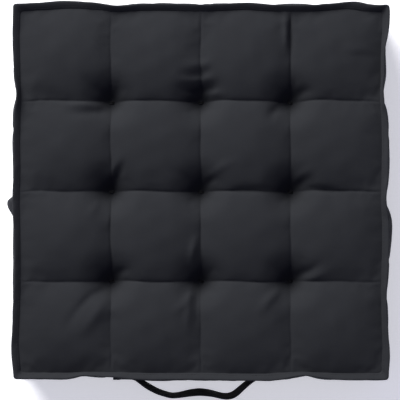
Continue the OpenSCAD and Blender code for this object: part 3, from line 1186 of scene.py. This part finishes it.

# %% [markdown]
# ## The handle
# One strip of webbing is sewn to the front strip at both ends and stands out between them in a
# flat bow with a shallow dip in its middle. It leans: its upper edge is further out than its
# lower edge, because the bow hangs a little. A curve with a bevel would twist it at will, so it
# is swept along a list of places instead: how far along and out, its lean in degrees and how
# far it hangs. It bends where its free part leaves the sewn ends.
# %% Mark the run of the webbing
tape_low, tape_high = (corner.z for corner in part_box("handle_end_left"))
tape_width = tape_high - tape_low
tape_middle = (tape_high + tape_low) / 2
tape_thick = 2.0 * mm
sewn_y = -(half + side_bulge + tape_thick / 2 + 0.1 * mm)
tape_run = [
    (-118.2, 0.0, 0, 0), (-108, 0.0, 0, 0), (-98, 0.0, 0, 0), (-91, -0.1, 0, 0), (-87, -1.2, 3, 0),
    (-82, -4.4, 8, 0.2), (-74, -9.6, 12, 0.8), (-69, -12.8, 12, 1.4), (-58, -18.6, 11, 2.4),
    (-48, -21.8, 10, 3.0), (-39, -24.3, 10, 3.5), (-28, -23.0, 11, 3.8), (-15, -20.4, 15, 4.0),
    (-2, -19.0, 17, 4.0), (10, -20.2, 15, 3.9), (19, -22.0, 12, 3.6), (28, -24.6, 12, 3.2),
    (37, -25.2, 13, 2.8), (45, -22.6, 15, 2.2), (53, -15.4, 14, 1.5), (58, -10.8, 12, 0.9),
    (64, -5.8, 11, 0.4), (69, -2.6, 8, 0.1), (74, -0.8, 2, 0), (80, -0.1, 0, 0), (90, 0.0, 0, 0),
    (102.2, 0.0, 0, 0),
]


def even_run(knots, step):
    """Places at equal steps through the knots, with the bends between them rounded."""
    knots = np.array(knots, float)
    fine_x = np.arange(knots[0, 0], knots[-1, 0] + step / 2, step)
    rounding, reach = 3.2, 12
    weights = np.exp(-0.5 * (np.arange(-reach, reach + 1) * step / rounding) ** 2)
    out = [fine_x]
    for column in (1, 2, 3):
        values = np.interp(fine_x, knots[:, 0], knots[:, column])
        padded = np.pad(values, reach, mode="edge")
        out.append(np.convolve(padded, weights / weights.sum(), mode="valid"))
    return np.array(out).T


run = even_run(tape_run, 1.4)
print(f"{len(run)} places along the webbing, {tape_width * 1000:.0f} mm wide")

# %% [markdown]
# ## Sweep it
# The section of webbing is flat with rounded selvedges. It is set down at every place, upright
# on its lean, and its ends are folded under and so a little thicker. A measure along and across
# it is stored as its UV map, so that the herringbone follows its bends.
# %% Sweep the webbing
half_width = tape_width / 2
selvedge, bevel = 0.8 * mm, 0.2 * mm
face_shares = np.linspace(-1, 1, 9)
flat = [(s * (half_width - selvedge), 1.06 if abs(s) > 0.95 else 1.0) for s in face_shares]
edge = [(half_width - bevel, 0.75), (half_width, 0.0), (half_width - bevel, -0.75)]
section = flat + edge
section += [(-across, -thick) for across, thick in section]
ring = len(section)


fold_length = 9
fold_extra = 0.55


def folded_under(to_end):
    """One at the end of the webbing, and none past the fold. Both lengths are in millimetres."""
    return 1 / (1 + math.exp((to_end - fold_length) * 2.5))


upright = np.array([0, 0, 1.0])
middle_line = np.array([(x * mm, sewn_y + y * mm, tape_middle - drop * mm) for x, y, lean, drop in run])
points = []
for i, (x, y, lean, drop) in enumerate(run):
    ahead = heading(middle_line, i)
    tilt = math.radians(lean)
    outward = np.array([ahead[1], -ahead[0], 0.0])
    outward /= np.linalg.norm(outward)
    upward = upright * math.cos(tilt) + outward * math.sin(tilt)
    off_face = outward * math.cos(tilt) - upright * math.sin(tilt)
    end_fold = fold_extra * (folded_under(x - run[0, 0]) + folded_under(run[-1, 0] - x))
    for across, thick in section:
        depth = thick * tape_thick / 2
        if thick > 0:
            depth *= 1 + end_fold
        points.append(middle_line[i] + upward * across + off_face * depth)
faces = tube_faces(len(run), ring)
webbing = new_piece("webbing_handle", points, faces, webbing_finish)
so_far = np.concatenate([[0], np.cumsum(np.linalg.norm(np.diff(middle_line, axis=0), axis=1))])
measure = webbing.data.uv_layers.new(name="measure")
for corner in webbing.data.loops:
    place, number = divmod(corner.vertex_index, ring)
    measure.data[corner.index].uv = (so_far[place], section[number][0])
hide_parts("handle_strap", "handle_end_left", "handle_end_right")
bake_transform(webbing)
print(f"webbing {so_far[-1] * 1000:.0f} mm long")

# %% [markdown]
# ## The box and cross
# Each sewn end of a handle is fixed with a box of stitches and a cross inside it, the strongest
# way to sew webbing down. Six straight rows are enough to draw it, each cut into stitches by
# the same sweep. Where the webbing is folded under, they stand a little further out.
# %% Sew down both ends of the handle
def sewn_box(node, name):
    low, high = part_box(node)
    edge_gap, stitch_run = 1.0 * mm, 2.6 * mm
    outer_y = sewn_y - tape_thick / 2
    x0, x1 = low.x + edge_gap, high.x - edge_gap
    z0, z1 = low.z + edge_gap, high.z - edge_gap
    a, b, c, d = (x0, z0), (x1, z0), (x1, z1), (x0, z1)
    paths = []
    for (ax, az), (bx, bz) in ((a, b), (b, c), (c, d), (d, a), (a, c), (d, b)):
        length = math.hypot(bx - ax, bz - az)
        number = max(1, round(length / stitch_run))
        for k in range(number):
            path = []
            for part, lift in ((0.08, -0.3), (0.25, 0.2), (0.75, 0.2), (0.92, -0.3)):
                share = (k + part) / number
                x, z = ax + (bx - ax) * share, az + (bz - az) * share
                near_end = min(abs(x - run[0, 0] * mm), abs(run[-1, 0] * mm - x))
                raised = fold_extra * mm * folded_under(near_end / mm)
                path.append((x, outer_y - raised - lift * mm, z))
            paths.append(path)
    points, faces = thread_mesh(paths, 0.38 * mm)
    stitches = new_piece(name, points, faces, thread_finish)
    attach(stitches, "cushion")
    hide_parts(node)
    return len(paths)


sewn = [sewn_box(f"handle_stitches_{end}", f"{end}_end_stitches") for end in ("left", "right")]
print(f"{sewn} stitches at the two ends")

# %% [markdown]
# ## The filling
# The fibre fills the cover to the last corner. Loose fibres would take millions of hairs that
# nobody sees, so it is one closed form a few millimetres inside the cover. Its two faces are
# made from the finished top and the shape of the underside, so that it never pokes through.
# Around each tuft it stands back further, to leave room for the twine.
# %% Shape the filling's two faces
def drawn_in(points, size, depth):
    """Moves a square sheet inwards along its own slopes."""
    sheet = points.reshape(size, size, 3)
    slope = np.cross(np.gradient(sheet, axis=1), np.gradient(sheet, axis=0))
    slope /= np.linalg.norm(slope, axis=-1, keepdims=True)
    return sheet - slope * depth


inner_step = 2
inside = 4.0 * mm
top_inner = drawn_in(top_points, count, inside)[::inner_step, ::inner_step]
top_inner[..., 2] -= 9 * mm * tuft_fall(top_inner[..., 0], top_inner[..., 1], 6 * mm, 14 * mm)
size = top_inner.shape[0]
flat_x, flat_y = np.meshgrid(lines[::inner_step], lines[::inner_step])
low_z_inner = low_shape(flat_x, flat_y) + inside + 6 * mm * tuft_fall(flat_x, flat_y, 6 * mm, 12 * mm)
shrink = (half - inside) / half
top_inner[..., :2] = np.clip(top_inner[..., :2], -half + inside, half - inside)
fill_points = list(top_inner.reshape(-1, 3))
fill_faces = grid_faces(size, size)
first_low = len(fill_points)
for r in range(size):
    for c in range(size):
        z = min(low_z_inner[r, c], top_inner[r, c, 2] - 2 * mm)
        fill_points.append((top_inner[r, c, 0] * shrink, top_inner[r, c, 1] * shrink, z))
fill_faces += [tuple(first_low + i for i in face[::-1]) for face in grid_faces(size, size)]
print(f"filling faces have {first_low} points each")

# %% [markdown]
# ## Close the filling's sides
# The rims of the two faces are joined by rings of points that bulge outwards like the side
# strips, but less, so the strips always cover them. A closed form has no stray edges.
# %% Join the two faces of the filling
wall_levels = (0.8, 0.6, 0.4, 0.2)
loop = [(0, c) for c in range(size - 1)] + [(r, size - 1) for r in range(size - 1)]
loop += [(size - 1, c) for c in range(size - 1, 0, -1)] + [(r, 0) for r in range(size - 1, 0, -1)]
rings = [[r * size + c for r, c in loop]]
for level in wall_levels:
    ring_ids = []
    for r, c in loop:
        a, b = np.array(fill_points[r * size + c]), np.array(fill_points[first_low + r * size + c])
        p = a * level + b * (1 - level)
        out = 1 + (side_bulge - 2 * mm) * (1 - (2 * level - 1) ** 2) / half
        ring_ids.append(len(fill_points))
        fill_points.append((p[0] * out, p[1] * out, p[2]))
    rings.append(ring_ids)
rings.append([first_low + r * size + c for r, c in loop])
for upper, lower in zip(rings, rings[1:]):
    for k in range(len(loop)):
        j = (k + 1) % len(loop)
        fill_faces.append((upper[k], lower[k], lower[j], upper[j]))
stuffing = new_piece("stuffing", fill_points, fill_faces, fibre_finish)
refined(stuffing)
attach(stuffing, "cushion")
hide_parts("filling")
print(f"filling {len(stuffing.data.polygons)} faces")
